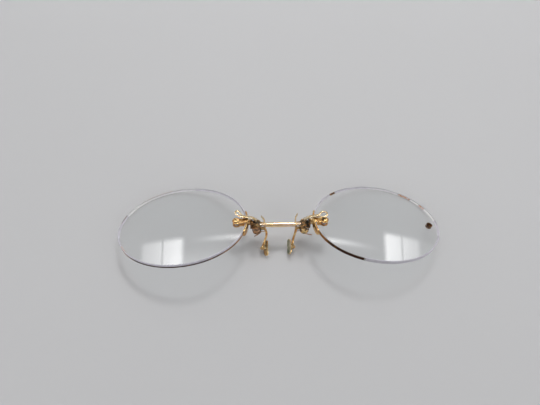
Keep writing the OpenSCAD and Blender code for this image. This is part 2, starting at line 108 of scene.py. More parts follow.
class PinceNezSpring(bpy.types.PropertyGroup):
    """Sizes of the closing springs, measured from the pivot's axis and the bar's height"""

    wire: size("Wire", 0.24, "Diameter of the wire", 0.1, 0.4)
    coil: size("Coil", 2.6, "Mean diameter of the coil", 2, 3)
    pitch: size("Pitch", 0.66, "Rise of the coil in one turn", 0.5, 1)
    top: size("Top", -0.74, "Height of the first turn over the bar's axis", -2, 0)
    turns: IntProperty(name="Turns", description="Turns in the coil", default=2, min=1, max=3)
    leg_in: size("Leg", 2.75, "Reach of the inner leg towards the nose", 2, 4)
    leg_back: size("Leg back", 1.62, "Distance of the inner leg's end behind the pivot's axis", 1, 2)
    left_tail: size("Left tail", 1.9, "Length of the left spring's tail", 1, 3)
    right_tail: size("Right tail", 2.7, "Length of the right spring's tail", 1, 3)
    left_turn: turn("Left tail turn", 37, "Angle by which the left tail points back")
    right_turn: turn("Right tail turn", 12, "Angle by which the right tail points back")


class PinceNezMetal(bpy.types.PropertyGroup):
    """Wear of the metal pieces and colours of their finish"""

    voxel: size("Voxel", 0.045, "Cell size at which worn pieces are resampled", 0.03, 0.2)
    fine_voxel: size("Fine voxel", 0.035, "Cell size for the thin blades and pads", 0.03, 0.2)
    wear: IntProperty(name="Wear", description="Smoothing passes that round the edges of most pieces",
                      default=6, min=0, max=20)
    gold: colour("Gold", (0.95, 0.66, 0.29), "Polished gold filling")
    deep_gold: colour("Deep gold", (0.55, 0.25, 0.07), "Darker, redder gold in the low places")
    pale_gold: colour("Pale gold", (1.0, 0.85, 0.62), "Worn, paler gold on the high places")
    # Painted highlight: the paler, pinker gold stands for the white-pink shine along the bridge bar.
    painted_highlight_rose: colour("Rose gold", (1.0, 0.76, 0.60), "Polished, pinker gold of the bridge bar")
    copper: colour("Copper", (0.70, 0.37, 0.20), "Bare copper where the gold is gone")
    # Dark colour of the crevices and joins: partly real dirt, partly painted shade.
    grime_and_shade: colour("Grime", (0.026, 0.022, 0.012), "Dirt in the crevices")
    verdigris: colour("Verdigris", (0.20, 0.25, 0.17), "Green bloom on the nose side of the pads")
    soil_near: size("Soil", 1.3, "Radius around a pivot that is soiled most", 0, 5)
    soil_reach: size("Soil reach", 2.2, "Distance over which the soil thins out", 0.5, 8)


class PinceNezGlass(bpy.types.PropertyGroup):
    """Colours of the glass and of its ground edge"""

    tint: colour("Tint", (0.992, 0.994, 0.996), "Colour of the clear glass")
    edge: colour("Edge", (0.74, 0.71, 0.80), "Colour of the ground edge")
    # Painted highlight: white on the upper outer rims, standing for the light's glint on the ground edge.
    painted_glint: colour("Frost", (0.98, 0.97, 0.98), "Colour of the edge where it is freshly ground")
    worn_edge: colour("Worn edge", (0.30, 0.29, 0.26), "Colour of the edge where it is soiled")
    # Amber and brown: partly old staining in the edge, and partly the gold mount's reflection inside the glass,
    # painted in.
    amber: colour("Amber", (0.58, 0.27, 0.08), "Amber stain in the edge")
    brown: colour("Brown", (0.040, 0.013, 0.005), "Dark brown stain in the edge")


class PinceNezStudio(bpy.types.PropertyGroup):
    """The photograph's camera and a plain soft studio"""

    camera_rise: turn("Camera rise", 46.12, "Angle of the camera above the plane of the lenses")
    camera_swing: turn("Camera swing", -3.01, "Angle of the camera to the side")
    camera_roll: turn("Camera roll", 1.40, "Turn of the camera about its own axis")
    distance: size("Distance", 164, "Distance from the camera to its aim", 100, 400)
    aim_x: size("Aim X", -2.84, "Aim across the face", -50, 50)
    aim_y: size("Aim Y", 10.03, "Aim up the face", -50, 50)
    focal: FloatProperty(name="Focal length", description="Focal length for a 36 mm wide sensor",
                         default=33.333)
    floor: colour("Floor", (0.53, 0.53, 0.54), "Colour of the floor")
    key: lamp("Key", 26, "Brightness of the compact light behind")
    ceiling: lamp("Ceiling", 1.6, "Brightness of the large soft light overhead")
    window: lamp("Windows", 5.0, "Brightness of the two soft windows behind")
    shelf: lamp("Shelf", 5.5, "Brightness of the low soft strip behind")
    fill: lamp("Fill", 2.2, "Brightness of the two front fill lights")
    sky: lamp("Sky", 0.18, "Strength of the plain surroundings overhead")
    horizon: lamp("Horizon", 0.5, "Strength of the plain surroundings at the horizon")


def joint(name):
    return next(j for j in frame["joints"] if j["name"] == name)


def face_to_row():
    """From the face's axes (X across, Y up, Z towards the viewer) to the row's, where the glasses lie down.

    The glasses lean by the angle of the pivots' axes. The left pivot, which lies below the lens's centre
    line by the mount's drop, gives the height at which they lie.
    """
    drop = bpy.context.scene.pince_nez_lens.mount_drop
    pivot = joint("left_lever_pivot")
    axis = pivot["axis"]
    along, height = pivot["pos_m"][1:]
    lean = math.atan2(-axis[2], axis[1])
    pivot_z = (along + drop * math.cos(lean)) / math.sin(lean)
    lift = height - drop * math.sin(lean) - pivot_z * math.cos(lean)
    return Matrix.Translation((0, 0, lift)) @ Matrix.Rotation(-lean, 4, "X")


# Finishing a piece

RIM_ANGLE = math.radians(30)


def new_object(name, data):
    obj = bpy.data.objects.new(name, data)
    bpy.context.scene.collection.objects.link(obj)
    return obj


def to_mesh(bm, name):
    mesh = bpy.data.meshes.new(name)
    bm.to_mesh(mesh)
    bm.free()
    return mesh


def evaluated_mesh(obj):
    depsgraph = bpy.context.evaluated_depsgraph_get()
    return bpy.data.meshes.new_from_object(obj.evaluated_get(depsgraph))


def applied(obj):
    """Turns the object's modifiers into its mesh."""
    mesh = evaluated_mesh(obj)
    obj.modifiers.clear()
    obj.data = mesh
    return obj


def smooth(obj, sharp=None):
    """Shades the piece smooth, but for edges sharper than the given angle in degrees."""
    obj.data.polygons.foreach_set("use_smooth", [True] * len(obj.data.polygons))
    if sharp is not None:
        obj.data.set_sharp_from_angle(angle=math.radians(sharp))
    return obj


def coated(obj, *mats):
    """Gives a new piece its materials, one slot each."""
    for mat in mats:
        obj.data.materials.append(mat)
    return obj


def metal_finish(name):
    return bpy.data.materials[name]


def body_of_node(node):
    for body, members in frame["record"]["behaviour"]["bodies"].items():
        if node in members:
            return body
    raise ValueError(f"no body holds {node}")


def stands_for(obj, *nodes):
    """The piece takes the place and body of CAD nodes, and hides them."""
    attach(obj, body_of_node(nodes[0]))
    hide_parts(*nodes)
    return obj


def distance_to_line(point, start, direction):
    offset = point - start
    return (offset - offset.dot(direction) * direction).length


def soil(obj):
    """Writes how close each point lies to the nearer pivot, where handling never reaches and dirt stays."""
    metal = bpy.context.scene.pince_nez_metal
    pivots = [joint(name + "_lever_pivot") for name, _ in SIDES]
    lines = [(Vector(p["pos_m"]), Vector(p["axis"]).normalized()) for p in pivots]
    values = []
    for v in obj.data.vertices:
        away = min(distance_to_line(v.co, *line) for line in lines)
        values.append(1 - min(1, max(0, away - metal.soil_near) / metal.soil_reach))
    layer = obj.data.attributes.new("soil", "FLOAT", "POINT")
    layer.data.foreach_set("value", values)
    return obj


def merged_copy(node, name):
    bm = bmesh.new()
    bm.from_mesh(frame["nodes"][node].data)
    bmesh.ops.remove_doubles(bm, verts=bm.verts, dist=MERGE)
    return new_object(name, to_mesh(bm, name))


def worn_copy(node, name, mat, wear=None, fine=False):
    """A copy of a node with the soft edges of handled metal."""
    metal = bpy.context.scene.pince_nez_metal
    obj = merged_copy(node, name)
    remesh = obj.modifiers.new("Resample", "REMESH")
    remesh.mode = "VOXEL"
    remesh.voxel_size = metal.fine_voxel if fine else metal.voxel
    relax = obj.modifiers.new("Wear", "SMOOTH")
    relax.factor = 0.5
    relax.iterations = metal.wear if wear is None else wear
    return stands_for(soil(smooth(coated(applied(obj), mat))), node)


def turned_copy(node, name, mat, rim=0.05 * MM):
    """A copy of a turned piece with its sharp rims bevelled."""
    obj = merged_copy(node, name)
    bm = bmesh.new()
    bm.from_mesh(obj.data)
    rims = [e for e in bm.edges if e.calc_face_angle(0) > RIM_ANGLE]
    bmesh.ops.bevel(bm, geom=rims, offset=rim, offset_type="OFFSET", affect="EDGES", segments=3,
                    profile=0.5, material=-1, clamp_overlap=True)
    bm.to_mesh(obj.data)
    bm.free()
    return stands_for(soil(smooth(coated(obj, mat), sharp=40)), node)


# Materials

# Noise scales, for patterns in metres: the higher the scale, the finer the marks.
HAZE_SCALE = 260.0
SPECK_SCALE = 900.0
DIRT_SCALE = 1400.0
DAB_SCALE = 1500.0

# How far the dirt and the painted shade reach out of a corner, how deep the fine relief is, and how strongly glass
# refracts.
CREVICE = 0.8 * MM
METAL_RELIEF = 0.04 * MM
GROUND_RELIEF = 0.03 * MM
GLASS_IOR = 1.52

# The light that the lens and its ground edge let through to the floor.
THROUGH_LENS = (0.93, 0.94, 0.94)
THROUGH_EDGE = (0.6, 0.58, 0.56)

# Places of the Mix node's sockets, which share their names: its factor, its pairs of inputs, its results.
MIX_FACTOR, NUMBER_A, NUMBER_B, COLOUR_A, COLOUR_B = 0, 2, 3, 6, 7
MIXED_NUMBER, MIXED_COLOUR = 0, 2


def node_of(tree, kind, **values):
    """A new node, with its settings and its inputs' values by name."""
    node = tree.nodes.new(kind)
    for key, value in values.items():
        if hasattr(node, key):
            setattr(node, key, value)
        else:
            node.inputs[key.replace("_", " ")].default_value = value
    return node


def is_socket(value):
    return hasattr(value, "is_output")


def feed(tree, value, socket):
    """Links a result to a socket, or sets a plain value on it."""
    if is_socket(value):
        tree.links.new(value, socket)
    else:
        socket.default_value = value


def rgba(c):
    return (c[0], c[1], c[2], 1)


def darker(c, share):
    return [part * share for part in c]


def group_tree(name, inputs, outputs):
    """A node group with named inputs (label, default) and outputs (label), all numbers."""
    tree = bpy.data.node_groups.new(name, "ShaderNodeTree")
    for label, default in inputs:
        item = tree.interface.new_socket(label, in_out="INPUT", socket_type="NodeSocketFloat")
        item.default_value = default
    for label in outputs:
        tree.interface.new_socket(label, in_out="OUTPUT", socket_type="NodeSocketFloat")
    return tree, tree.nodes.new("NodeGroupInput"), tree.nodes.new("NodeGroupOutput")


def mixed(tree, factor, a, b):
    """Mixes two colours and returns the result's socket."""
    mix = node_of(tree, "ShaderNodeMix", data_type="RGBA")
    feed(tree, factor, mix.inputs[MIX_FACTOR])
    for value, place in ((a, COLOUR_A), (b, COLOUR_B)):
        feed(tree, value if is_socket(value) else rgba(value), mix.inputs[place])
    return mix.outputs[MIXED_COLOUR]


def mixed_shader(tree, factor, a, b):
    """Mixes two shaders and returns the result's socket."""
    mix = tree.nodes.new("ShaderNodeMixShader")
    for value, socket in zip((factor, a, b), mix.inputs):
        tree.links.new(value, socket)
    return mix.outputs[0]


def maths(tree, operation, a, b=0.5, clamp=False):
    node = node_of(tree, "ShaderNodeMath", operation=operation, use_clamp=clamp)
    feed(tree, a, node.inputs[0])
    feed(tree, b, node.inputs[1])
    return node.outputs[0]


def times(tree, a, b, clamp=False):
    return maths(tree, "MULTIPLY", a, b, clamp)


def ramp(tree, value, low, high, to_low=0.0, to_high=1.0):
    """Maps a value from low..high to to_low..to_high, smoothly and within them."""
    node = node_of(tree, "ShaderNodeMapRange", interpolation_type="SMOOTHSTEP", From_Min=low, From_Max=high,
                   To_Min=to_low, To_Max=to_high)
    tree.links.new(value, node.inputs["Value"])
    return node.outputs["Result"]


def object_place(tree):
    return tree.nodes.new("ShaderNodeTexCoord").outputs["Object"]


def object_noise(tree, scale, detail=4.0, rough=0.55):
    noise = node_of(tree, "ShaderNodeTexNoise", Detail=detail, Roughness=rough)
    feed(tree, scale, noise.inputs["Scale"])
    tree.links.new(object_place(tree), noise.inputs["Vector"])
    return noise.outputs["Fac"]


def attribute(tree, name):
    return node_of(tree, "ShaderNodeAttribute", attribute_name=name).outputs["Fac"]


def crevices(tree, neighbours):
    """How open each point is, by the piece alone or, as neighbours says, by the pieces around it too: the mask of
    the painted shade in crevices and between parts.
    """
    shade = tree.nodes.new("ShaderNodeMix")
    tree.links.new(neighbours, shade.inputs[MIX_FACTOR])
    for place, alone in ((NUMBER_A, True), (NUMBER_B, False)):
        open_sky = node_of(tree, "ShaderNodeAmbientOcclusion", samples=8, only_local=alone, Distance=CREVICE)
        tree.links.new(open_sky.outputs["AO"], shade.inputs[place])
    return shade.outputs[MIXED_NUMBER]


def tarnish_and_shade_group():
    """Blotches, rubbed high places and a Grime mask for handled metal: a mask each, and a height. The Grime mask
    is partly dirt near the pivots and partly painted shade in crevices and between parts.
    """
    tree, ins, outs = group_tree(
        "tarnish_and_shade",
        inputs=[("Blotch Scale", 500.0), ("Grain Scale", 4000.0), ("Grime", 0.5), ("Neighbours", 1.0),
                ("Soil", 0.9)],
        outputs=["Blotch", "Rubbed", "Grime", "Height"])
    blotch = object_noise(tree, ins.outputs["Blotch Scale"], 3.0)
    grain = object_noise(tree, ins.outputs["Grain Scale"], 5.0, 0.6)
    # Painted shade: the less open a point is, the darker it is made.
    hollow_shade = ramp(tree, crevices(tree, ins.outputs["Neighbours"]), 0.45, 0.95, 1.0, 0.0)
    patchy = maths(tree, "ADD", ramp(tree, blotch, 0.35, 0.62), 0.35)
    amount = times(tree, ins.outputs["Grime"], 2.0)
    settled_grime_and_shade = times(tree, times(tree, hollow_shade, patchy), amount, clamp=True)
    caked = ramp(tree, object_noise(tree, DIRT_SCALE, 5.0, 0.7), 0.40, 0.58)
    caked = times(tree, times(tree, caked, attribute(tree, "soil")), ins.outputs["Soil"])
    height = maths(tree, "ADD", times(tree, grain, 0.6), times(tree, blotch, 0.6))
    tree.links.new(ramp(tree, blotch, 0.38, 0.66), outs.inputs["Blotch"])
    tree.links.new(ramp(tree, grain, 0.50, 0.70), outs.inputs["Rubbed"])
    tree.links.new(maths(tree, "MAXIMUM", settled_grime_and_shade, caked, clamp=True), outs.inputs["Grime"])
    tree.links.new(height, outs.inputs["Height"])
    return tree


def material(name):
    mat = bpy.data.materials.new(name)
    mat.use_nodes = True
    return mat, mat.node_tree, mat.node_tree.nodes["Principled BSDF"]


def surface(tree, result):
    """Makes a shader the material's surface."""
    tree.links.new(result, tree.nodes["Material Output"].inputs["Surface"])


def bump(tree, height, shader, strength, distance):
    node = node_of(tree, "ShaderNodeBump", Strength=strength, Distance=distance)
    tree.links.new(height, node.inputs["Height"])
    tree.links.new(node.outputs["Normal"], shader.inputs["Normal"])


def gold_material(name, group, high, low, grime_and_shade=0.5, rough=(0.12, 0.30), blotch=650.0, dirt_and_shade=None,
                  neighbours=1.0):
    """Gold filled metal: paler where it is rubbed, redder in blotches, and dark in the crevices and between parts,
    which is partly dirt and partly painted shade.
    """
    metal = bpy.context.scene.pince_nez_metal
    mat, tree, shader = material(name)
    wear = node_of(tree, "ShaderNodeGroup", node_tree=group, Blotch_Scale=blotch, Grime=grime_and_shade,
                   Neighbours=neighbours)
    rubbed = times(tree, wear.outputs["Rubbed"], 0.5)
    body = mixed(tree, wear.outputs["Blotch"], high, low)
    body = mixed(tree, rubbed, body, metal.pale_gold)
    # Dirt and painted shade: the shut-in places, and the soiled places near the pivots, take the dark colour.
    body = mixed(tree, wear.outputs["Grime"], body, dirt_and_shade or metal.grime_and_shade)
    tree.links.new(body, shader.inputs["Base Color"])
    clean = maths(tree, "SUBTRACT", 1.0, wear.outputs["Grime"], clamp=True)
    tree.links.new(clean, shader.inputs["Metallic"])
    sheen = ramp(tree, wear.outputs["Height"], 0.4, 0.8, *rough)
    dull = maths(tree, "ADD", sheen, times(tree, wear.outputs["Grime"], 0.4), clamp=True)
    tree.links.new(dull, shader.inputs["Roughness"])
    bump(tree, wear.outputs["Height"], shader, 0.25, METAL_RELIEF)
    return mat


def light_passes(tree, shader, through):
    """Lets the lamps' light through the glass, so that it doesn't shade the floor like a board."""
    path = tree.nodes.new("ShaderNodeLightPath")
    clear = node_of(tree, "ShaderNodeBsdfTransparent", Color=rgba(through))
    result = shader.outputs[0]
    for kind in ("Is Shadow Ray", "Is Diffuse Ray"):
        result = mixed_shader(tree, path.outputs[kind], result, clear.outputs[0])
    surface(tree, result)


def clear_glass():
    """The lens's polished faces, with a faint haze of handling."""
    glass = bpy.context.scene.pince_nez_glass
    mat, tree, shader = material("lens_glass")
    haze = object_noise(tree, HAZE_SCALE, 5.0, 0.6)
    body = mixed(tree, ramp(tree, haze, 0.45, 0.75), glass.tint, darker(glass.tint, 0.985))
    tree.links.new(body, shader.inputs["Base Color"])
    tree.links.new(ramp(tree, haze, 0.45, 0.8, 0.01, 0.07), shader.inputs["Roughness"])
    shader.inputs["IOR"].default_value = GLASS_IOR
    shader.inputs["Transmission Weight"].default_value = 1
    light_passes(tree, shader, THROUGH_LENS)
    return mat


def ground_glass():
    """The lens's ground edge: frosted, with a lilac cast, soiled where the attribute stain_and_glint says, and
    painted white as a highlight where it is below 0.
    """
    glass = bpy.context.scene.pince_nez_glass
    mat, tree, shader = material("ground_edge")
    stain_and_glint = attribute(tree, "stain_and_glint")
    speck = object_noise(tree, SPECK_SCALE, 6.0, 0.65)
    body = mixed(tree, ramp(tree, speck, 0.35, 0.7), glass.edge, darker(glass.edge, 0.85))
    body = mixed(tree, ramp(tree, stain_and_glint, 0.1, 0.5), body, glass.worn_edge)
    # Painted highlight: where the mark is below 0, the edge turns white.
    body = mixed(tree, ramp(tree, stain_and_glint, -0.3, 0.0, 1.0, 0.0), body, glass.painted_glint)
    tree.links.new(body, shader.inputs["Base Color"])
    tree.links.new(ramp(tree, speck, 0.3, 0.7, 0.35, 0.6), shader.inputs["Roughness"])
    shader.inputs["IOR"].default_value = GLASS_IOR
    shader.inputs["Transmission Weight"].default_value = 0.35
    bump(tree, speck, shader, 0.3, GROUND_RELIEF)
    light_passes(tree, shader, THROUGH_EDGE)
    return mat


def stain_and_reflection_glass():
    """The amber and brown on the ground edge, partly old staining and partly a painted reflection of the gold
    mount, deeper where the attribute stain_and_glint is higher.
    """
    glass = bpy.context.scene.pince_nez_glass
    mat, tree, shader = material("stain_and_reflection_edge")
    stain_and_glint = attribute(tree, "stain_and_glint")
    speck = object_noise(tree, SPECK_SCALE, 6.0, 0.65)
    depth = times(tree, stain_and_glint, ramp(tree, speck, 0.30, 0.55, 0.8, 1.1), clamp=True)
    # Amber next to the mount, deepening to dark brown: partly staining, partly a painted reflection of the gold
    # mount.
    warm = mixed(tree, ramp(tree, depth, 0.45, 0.9), glass.amber, glass.brown)
    ragged = ramp(tree, object_noise(tree, DAB_SCALE, 6.0, 0.7), 0.30, 0.70, -0.25, 0.25)
    dabs = ramp(tree, maths(tree, "ADD", stain_and_glint, ragged), 0.22, 0.46)
    tree.links.new(mixed(tree, dabs, glass.edge, warm), shader.inputs["Base Color"])
    tree.links.new(ramp(tree, speck, 0.3, 0.7, 0.4, 0.6), shader.inputs["Roughness"])
    shader.inputs["Specular IOR Level"].default_value = 0.15
    bump(tree, speck, shader, 0.4, GROUND_RELIEF)
    return mat


class OBJECT_OT_pince_nez_finishes(bpy.types.Operator):
    """Make the metal finishes"""

    bl_idname = "object.pince_nez_finishes"
    bl_label = "Finishes"

    def execute(self, context):
        metal = context.scene.pince_nez_metal
        group = tarnish_and_shade_group()
        gold, deep, pale, dark = metal.gold, metal.deep_gold, metal.pale_gold, metal.grime_and_shade
        gold_material("polished_gold", group, gold, deep, grime_and_shade=0.55)
        # Painted highlight: a paler, glossier copy of the gold, so that the finger pieces and brow guards look
        # lit.
        gold_material("painted_highlight_gold", group, pale, gold, grime_and_shade=0.45, rough=(0.08, 0.22))
        # Painted highlight: the bridge bar's paler, pinker gold.
        gold_material("bar_painted_highlight_gold", group, metal.painted_highlight_rose, gold, rough=(0.14, 0.30), blotch=500.0)
        gold_material("strap_gold", group, gold, deep, grime_and_shade=0.6, neighbours=0.0)
        gold_material("bare_copper", group, metal.copper, deep, grime_and_shade=0.9, rough=(0.2, 0.4), blotch=700.0)
        # Painted shade as well as dirt: the studs, deep among the other pieces, are made dark all over.
        gold_material("grime_and_shade_gold", group, deep, dark, grime_and_shade=1.0, rough=(0.35, 0.6))
        gold_material("screw_gold", group, gold, deep, grime_and_shade=0.8, rough=(0.2, 0.4), blotch=700.0)
        gold_material("pad_gold", group, gold, deep, grime_and_shade=0.6, rough=(0.2, 0.42), blotch=420.0)
        gold_material("pad_face", group, darker(pale, 0.75), metal.verdigris, grime_and_shade=0.6, rough=(0.35, 0.55),
                      blotch=380.0, dirt_and_shade=metal.verdigris)
        gold_material("spring_wire_gold", group, deep, dark, grime_and_shade=0.7, rough=(0.3, 0.5), blotch=900.0)
        return {"FINISHED"}


# Lenses

# A lens's faces, and the slots of its clear glass, its ground edge, and its amber and brown edge, which is partly
# staining and partly a painted reflection of the gold mount.
FRONT, BACK = 1, -1
CLEAR, GROUND, STAIN_AND_REFLECTION = 0, 1, 2
HOLE_STEPS = 64

# Rings of the lens's faces, as shares of its radius.
FACE_RINGS = (0, 0.1, 0.2, 0.3, 0.4, 0.5, 0.6, 0.7, 0.8, 0.88, 0.94, 0.975)

# Heights in the ground edge run from 1 in front to -1 behind: its rings, and the bands that a marked arc fills.
EDGE_RINGS = (0.45, 0.21, 0.15, -0.2)
WHOLE_EDGE = (-1, 0.84)
REAR_HALF = (-1, 0.15)
FRONT_BAND = (0.45, 0.84)
MIDDLE_BAND = (-0.2, 0.45)
REAR_BAND = (-1, -0.2)
BAND_MARGIN = 0.05

# Marked arcs of each ground edge: from and to in degrees, counted from the outer side over the top, how deep
# the mark is at both ends, and the band that it fills. Above 0 the mark is amber and brown, partly old
# staining and partly a painted reflection of the gold mount; below 0 it is a painted white highlight. A later
# arc covers an earlier one.
STAINS_AND_GLINTS = {
    "left": (
        (190, 225, 0.56, 0.66, REAR_HALF),
        (225, 255, 0.66, 0.95, REAR_HALF),
        (255, 300, 0.95, 1.1, REAR_HALF),
        (300, 338, 1.1, 0.3, REAR_HALF),
        (25, 100, -0.3, -0.15, WHOLE_EDGE),
        (46, 78, 0.65, 0.5, FRONT_BAND),
        (12, 25, 0.8, 0.7, MIDDLE_BAND),
    ),
    "right": (
        (190, 208, 0.56, 0.62, WHOLE_EDGE),
        (208, 226, 0.62, 0.95, WHOLE_EDGE),
        (226, 252, 0.95, 1.1, WHOLE_EDGE),
        (252, 325, 0.22, 0.1, WHOLE_EDGE),
        (10, 90, -0.3, -0.1, WHOLE_EDGE),
        (47, 61, 0.45, 0.35, REAR_BAND),
        (29, 37, 0.36, 0.36, REAR_BAND),
        (127, 134, 0.75, 0.65, WHOLE_EDGE),
    ),
}

# An arc shorter than this, in degrees, fades at both ends, over this many degrees.
SHORT_ARC = 16
ARC_FADE = 1.5

# How deep the amber and brown in the cord's hole is, partly staining and partly a painted reflection, and how deep
# a mark has to be for a face to take the amber and brown material.
CORD_HOLE_STAIN_AND_REFLECTION = 0.74
STAIN_AND_REFLECTION_FROM = 0.25


def lens_height_at(lens, x, y, face):
    """Height of a lens's front or back surface over its plane."""
    centre = lens.thickness / 2 - math.sqrt(lens.front_radius ** 2 - (lens.width / 2) ** 2)
    radius = lens.front_radius if face == FRONT else lens.front_radius - lens.thickness
    return centre + math.sqrt(radius ** 2 - x * x - y * y)


def spun(section, steps, merge):
    """Spins a half section of (radius, height) points around Z."""
    bm = bmesh.new()
    verts = [bm.verts.new((r, 0, z)) for r, z in section]
    edges = [bm.edges.new(pair) for pair in zip(verts, verts[1:])]
    bmesh.ops.spin(bm, geom=verts + edges, cent=(0, 0, 0), axis=(0, 0, 1), angle=2 * math.pi, steps=steps,
                   use_merge=True)
    bmesh.ops.remove_doubles(bm, verts=bm.verts, dist=merge)
    return bm


def lens_body(lens, name):
    """Spins a lens of radius 1 from its half section, then stretches it to its oval and bends its faces."""
    half_w, half_h = lens.width / 2, lens.height / 2
    close = 1e-6
    step, back_step = (c / ((half_w + half_h) / 2) for c in (lens.chamfer, lens.back_bevel))
    drop, rise = (2 * c / lens.thickness for c in (lens.chamfer, lens.back_bevel))
    section = [(r, 1) for r in (*FACE_RINGS, 1 - step)]
    section += [(1, level) for level in (1 - drop, *EDGE_RINGS, rise - 1)]
    # The back bevel starts inside the last ring, which is left out behind.
    section += [(r, -1) for r in (1 - back_step, *FACE_RINGS[-2::-1])]
    bm = spun(section, lens.segments, close)
    for f in bm.faces:
        on_face = all(abs(abs(v.co.z) - 1) < close for v in f.verts)
        f.material_index = CLEAR if on_face else GROUND
    for v in bm.verts:
        x, y, s = v.co.x * half_w, v.co.y * half_h, v.co.z
        front, back = (lens_height_at(lens, x, y, face) for face in (FRONT, BACK))
        v.co = (x, y, front * (1 + s) / 2 + back * (1 - s) / 2)
    bmesh.ops.recalc_face_normals(bm, faces=bm.faces)
    return new_object(name, to_mesh(bm, name))


def on_front(lens, x, y):
    """A place on the lens's front at x, y, with Z out of the glass. Near the middle line only x tilts it."""
    tilt = math.asin(x / lens.front_radius)
    return Matrix.Translation((x, y, lens_height_at(lens, x, 0, FRONT))) @ Matrix.Rotation(tilt, 4, "Y")


def hole_cutter(lens, x, y, diameter):
    """A drill with a small countersink at both faces."""
    radius, depth, flare = diameter / 2, lens.thickness, lens.countersink
    wide = radius + depth + flare
    section = [(0, depth), (wide, depth), (radius, -flare), (radius, flare - depth), (wide, -depth - depth),
               (0, -depth - depth)]
    bm = spun(section, HOLE_STEPS, MERGE)
    bmesh.ops.recalc_face_normals(bm, faces=bm.faces)
    bmesh.ops.transform(bm, matrix=on_front(lens, x, y), verts=bm.verts)
    obj = new_object("cutter", to_mesh(bm, "cutter"))
    for p in obj.data.polygons:
        p.material_index = GROUND
    return obj


def drill(obj, cutter):
    """Takes the cutter out of the piece."""
    cut = obj.modifiers.new("Hole", "BOOLEAN")
    cut.operation = "DIFFERENCE"
    cut.solver = "EXACT"
    cut.object = cutter
    applied(obj)
    bpy.data.objects.remove(cutter)


def stain_and_glint_depth(name, angle, level):
    """How deeply the edge is marked at an angle around it and a level in it: amber and brown above 0, a painted
    white highlight below 0.
    """
    depth = 0
    for low, high, first, last, (bottom, top) in STAINS_AND_GLINTS[name]:
        if low <= angle <= high and bottom - BAND_MARGIN < level < top + BAND_MARGIN:
            to_end = min(angle - low, high - angle)
            fade = min(1, to_end / ARC_FADE + 0.5) if high - low < SHORT_ARC else 1
            depth = fade * (first + (last - first) * (angle - low) / (high - low))
    return depth


def stain_and_glint_lens(obj, lens, name):
    """Writes how deeply each point is marked, and gives the amber and brown faces, partly staining and partly
    painted reflection, their material.
    """
    values = []
    for v in obj.data.vertices:
        x, y, z = v.co
        front, back = (lens_height_at(lens, x, y, face) for face in (FRONT, BACK))
        level = 2 * (z - back) / (front - back) - 1
        angle = math.degrees(math.atan2(y / lens.height, x / lens.width)) % 360
        depth = stain_and_glint_depth(name, angle, level)
        if name == CORD_SIDE and math.hypot(x - lens.width / 2 + lens.cord_inset, y) < lens.cord_hole:
            depth = CORD_HOLE_STAIN_AND_REFLECTION
        values.append(depth)
    layer = obj.data.attributes.new("stain_and_glint", "FLOAT", "POINT")
    layer.data.foreach_set("value", values)
    for p in obj.data.polygons:
        if p.material_index == GROUND and min(values[v] for v in p.vertices) > STAIN_AND_REFLECTION_FROM:
            p.material_index = STAIN_AND_REFLECTION


class OBJECT_OT_pince_nez_lenses(bpy.types.Operator):
    """Make both oval lenses with ground, chamfered edges and drilled holes"""

    bl_idname = "object.pince_nez_lenses"
    bl_label = "Lenses"

    def execute(self, context):
        lens = context.scene.pince_nez_lens
        mats = [clear_glass(), ground_glass(), stain_and_reflection_glass()]
        for name, side in SIDES:
            obj = coated(lens_body(lens, name + "_glass"), *mats)
            holes = [(lens.screw_inset - lens.width / 2, -lens.mount_drop, lens.screw_hole)]
            if name == CORD_SIDE:
                holes.append((lens.width / 2 - lens.cord_inset, 0, lens.cord_hole))
            for x, y, diameter in holes:
                drill(obj, coated(hole_cutter(lens, x, y, diameter), *mats))
            stain_and_glint_lens(obj, lens, name)
            middle = lens.gap / 2 + lens.width / 2 * math.cos(lens.wrap)
            place = Matrix.Translation((middle, 0, 0)) @ Matrix.Rotation(lens.wrap, 4, "Y")
            if side < 0:
                place = Matrix.Scale(-1, 4, (1, 0, 0)) @ place
            obj.data.transform(face_to_row() @ place)
            if side < 0:
                obj.data.flip_normals()
            smooth(obj, sharp=20)
            stands_for(obj, name + "_lens")
        return {"FINISHED"}


# Fittings


class OBJECT_OT_pince_nez_bridge(bpy.types.Operator):
    """Dress the bridge bar with its end arms"""

    bl_idname = "object.pince_nez_bridge"
    bl_label = "Bridge"

    def execute(self, context):
        # Painted highlight: the bar takes the paler, pinker gold.
        worn_copy("bridge_bar", "bridge", metal_finish("bar_painted_highlight_gold"), wear=14)
        return {"FINISHED"}


class OBJECT_OT_pince_nez_mounts(bpy.types.Operator):
    """Dress the posts, shoes, straps and screws that hold the lenses"""

    bl_idname = "object.pince_nez_mounts"
    bl_label = "Lens mounts"

    def execute(self, context):
        strap, screw = metal_finish("strap_gold"), metal_finish("screw_gold")
        domes = {"left": metal_finish("bare_copper"), "right": screw}
        for name, _ in SIDES:
            worn_copy(name + "_post", name + "_stud", metal_finish("grime_and_shade_gold"))
            worn_copy(name + "_shoe", name + "_edge_shoe", metal_finish("polished_gold"))
            worn_copy(name + "_front_strap", name + "_outer_strap", strap, wear=8)
            worn_copy(name + "_back_strap", name + "_inner_strap", strap, wear=8)
            turned_copy(name + "_lens_screw", name + "_strap_screw", screw, rim=0.06 * MM)
            turned_copy(name + "_pivot_screw", name + "_domed_screw", domes[name])
        return {"FINISHED"}


